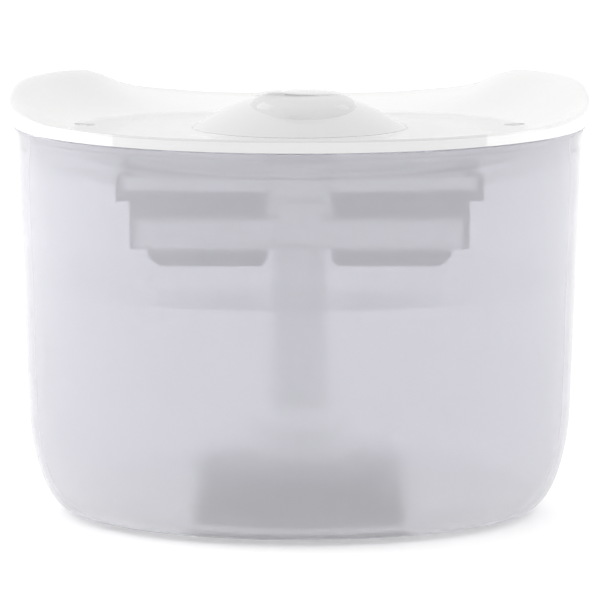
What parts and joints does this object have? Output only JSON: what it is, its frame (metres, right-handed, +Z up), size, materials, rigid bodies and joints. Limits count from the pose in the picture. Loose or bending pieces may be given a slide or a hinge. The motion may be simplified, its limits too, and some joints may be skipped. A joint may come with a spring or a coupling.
{
  "type": "pet water fountain",
  "caption": "Round pet water fountain: frosted tank on a power base, submerged magnet-driven pump, hanging filter box and white drinking tray with a central spring.",
  "frame": {"origin": "centre of the round tank on the surface that the feet stand on", "axes": "+Z up, +X to the right as seen from the drinking side, the low lip of the tray faces -Y"},
  "size_m": [0.2, 0.1984, 0.1472],
  "materials": {
    "white_gloss": "glossy injection-moulded white",
    "white_satin": "satin white housing plastic",
    "frosted_clear": "frosted clear plastic, smooth outside",
    "dark_rubber": "matt dark rubber",
    "clear_silicone": "milky silicone",
    "screw_steel": "plain steel",
    "socket_metal": "bright stamped shell",
    "circuit_board": "green solder mask",
    "core_steel": "sintered core",
    "coil_copper": "enamelled copper winding",
    "pump_plastic": "white pump plastic",
    "strainer_plastic": "light grey plastic",
    "riser_plastic": "grey clear tube",
    "dark_foam": "open-cell foam",
    "ceramic_white": "polished ceramic",
    "magnet_grey": "sintered magnet",
    "filter_grey": "grey translucent plastic",
    "cartridge_plastic": "white cartridge plastic",
    "resin_beads": "packed resin beads",
    "carbon_felt": "carbon granules in felt",
    "cotton_white": "non-woven cotton"
  },
  "bodies": {
    "base": {"base_plate": "white_satin", "base_housing": "white_satin", "base_gasket": "dark_rubber", "base_feet": "dark_rubber", "base_screws": "screw_steel", "power_board": "circuit_board", "power_inlet": "socket_metal", "stator_core": "core_steel", "drive_coils": "coil_copper"},
    "tank": {"tank": "frosted_clear"},
    "pump": {"pump_feet": "dark_rubber", "pump_cup": "pump_plastic", "pump_cover": "pump_plastic", "pump_sponge": "dark_foam", "riser_tube": "riser_plastic", "riser_seal": "dark_rubber", "lower_bush": "ceramic_white", "upper_bush": "ceramic_white", "impeller_shaft": "ceramic_white"},
    "rotor": {"impeller": "pump_plastic", "rotor_magnet": "magnet_grey"},
    "strainer": {"strainer_cover": "strainer_plastic"},
    "filter": {"filter_box": "filter_grey"},
    "cartridge": {"cartridge_case": "cartridge_plastic", "resin_layer": "resin_beads", "carbon_layer": "carbon_felt", "cotton_layer": "cotton_white", "cartridge_lid": "cartridge_plastic"},
    "tray": {"tray": "white_gloss", "tray_seal": "clear_silicone", "riser_grommet": "clear_silicone"},
    "nozzle": {"nozzle_cap": "white_gloss"}
  },
  "joints": [
    {"name": "tank_lift", "type": "slide", "parent": "base", "child": "tank", "axis": [0, 0, 1], "range_m": [0, 0.04]},
    {"name": "pump_lift", "type": "slide", "parent": "tank", "child": "pump", "axis": [0, 0, 1], "range_m": [0, 0.13]},
    {"name": "impeller_spin", "type": "hinge", "parent": "pump", "child": "rotor", "pos_m": [0, 0, 0.024], "axis": [0, 0, 1], "continuous": true},
    {"name": "strainer_twist", "type": "hinge", "parent": "pump", "child": "strainer", "pos_m": [0, 0, 0.024], "axis": [0, 0, 1], "range_deg": [0, 25]},
    {"name": "filter_lift", "type": "slide", "parent": "pump", "child": "filter", "axis": [0, 0, 1], "range_m": [0, 0.06]},
    {"name": "cartridge_lift", "type": "slide", "parent": "filter", "child": "cartridge", "axis": [0, 0, 1], "range_m": [0, 0.05]},
    {"name": "tray_lift", "type": "slide", "parent": "cartridge", "child": "tray", "axis": [0, 0, 1], "range_m": [0, 0.04]},
    {"name": "nozzle_lift", "type": "slide", "parent": "tray", "child": "nozzle", "axis": [0, 0, 1], "range_m": [0, 0.02]}
  ]
}
